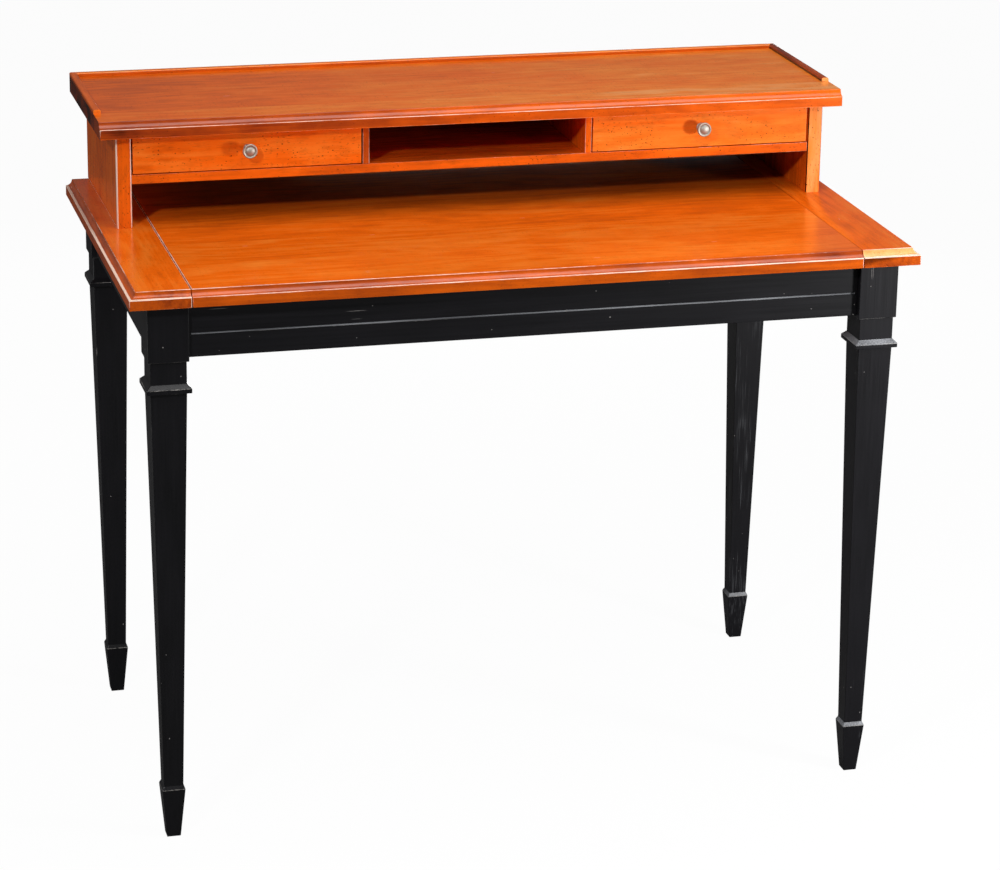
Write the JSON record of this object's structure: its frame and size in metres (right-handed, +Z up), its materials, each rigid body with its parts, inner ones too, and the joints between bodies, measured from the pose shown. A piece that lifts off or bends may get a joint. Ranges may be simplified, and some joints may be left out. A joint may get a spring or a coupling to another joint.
{
  "type": "writing desk",
  "caption": "Writing desk on black tapered legs with spade feet; the cherry top's middle board pulls forward and a low hutch carries knobbed drawers, a niche and a gallery.",
  "frame": {"origin": "on the floor, under the middle of the table top", "axes": "+Z up, +X to the right of someone sitting at the desk, +Y from the sitter towards the back"},
  "size_m": [1.06, 0.592, 0.9205],
  "materials": {
    "cherry": "warm orange-brown satin lacquer, edges rubbed pale",
    "black_paint": "black satin paint on wood, edges rubbed grey",
    "beech": "bare",
    "plywood": "bare",
    "pewter": "aged",
    "steel": "plain"
  },
  "bodies": {
    "carcase": {"end_board_left": "cherry", "end_board_right": "cherry", "hutch_side_left": "cherry", "hutch_side_right": "cherry", "hutch_top": "cherry", "shelf": "cherry", "divider_left": "cherry", "divider_right": "cherry", "back_panel": "cherry", "gallery_left": "cherry", "gallery_back": "cherry", "gallery_right": "cherry", "leg_front_left": "black_paint", "leg_front_right": "black_paint", "leg_back_left": "black_paint", "leg_back_right": "black_paint", "apron_front": "black_paint", "apron_back": "black_paint", "apron_left": "black_paint", "apron_right": "black_paint", "cross_bearer": "beech", "hutch_dowels": "beech", "drawer_stops": "beech", "cleat_front_left": "beech", "cleat_front_right": "beech", "cleat_back_left": "beech", "cleat_back_right": "beech", "cleat_screws": "steel", "back_panel_pins": "steel"},
    "slide": {"writing_slide": "cherry", "slide_stop_batten": "beech", "slide_batten_screws": "steel"},
    "drawer_left": {"drawer_left_front": "cherry", "drawer_left_side_left": "beech", "drawer_left_side_right": "beech", "drawer_left_back": "beech", "drawer_left_bottom": "plywood", "knob_left": "pewter", "knob_bolt_left": "steel"},
    "drawer_right": {"drawer_right_front": "cherry", "drawer_right_side_left": "beech", "drawer_right_side_right": "beech", "drawer_right_back": "beech", "drawer_right_bottom": "plywood", "knob_right": "pewter", "knob_bolt_right": "steel"}
  },
  "joints": [
    {"name": "slide_pull", "type": "slide", "parent": "carcase", "child": "slide", "axis": [0, -1, 0], "range_m": [0, 0.197]},
    {"name": "drawer_left_pull", "type": "slide", "parent": "carcase", "child": "drawer_left", "axis": [0, -1, 0], "range_m": [0, 0.19]},
    {"name": "drawer_right_pull", "type": "slide", "parent": "carcase", "child": "drawer_right", "axis": [0, -1, 0], "range_m": [0, 0.19]}
  ]
}
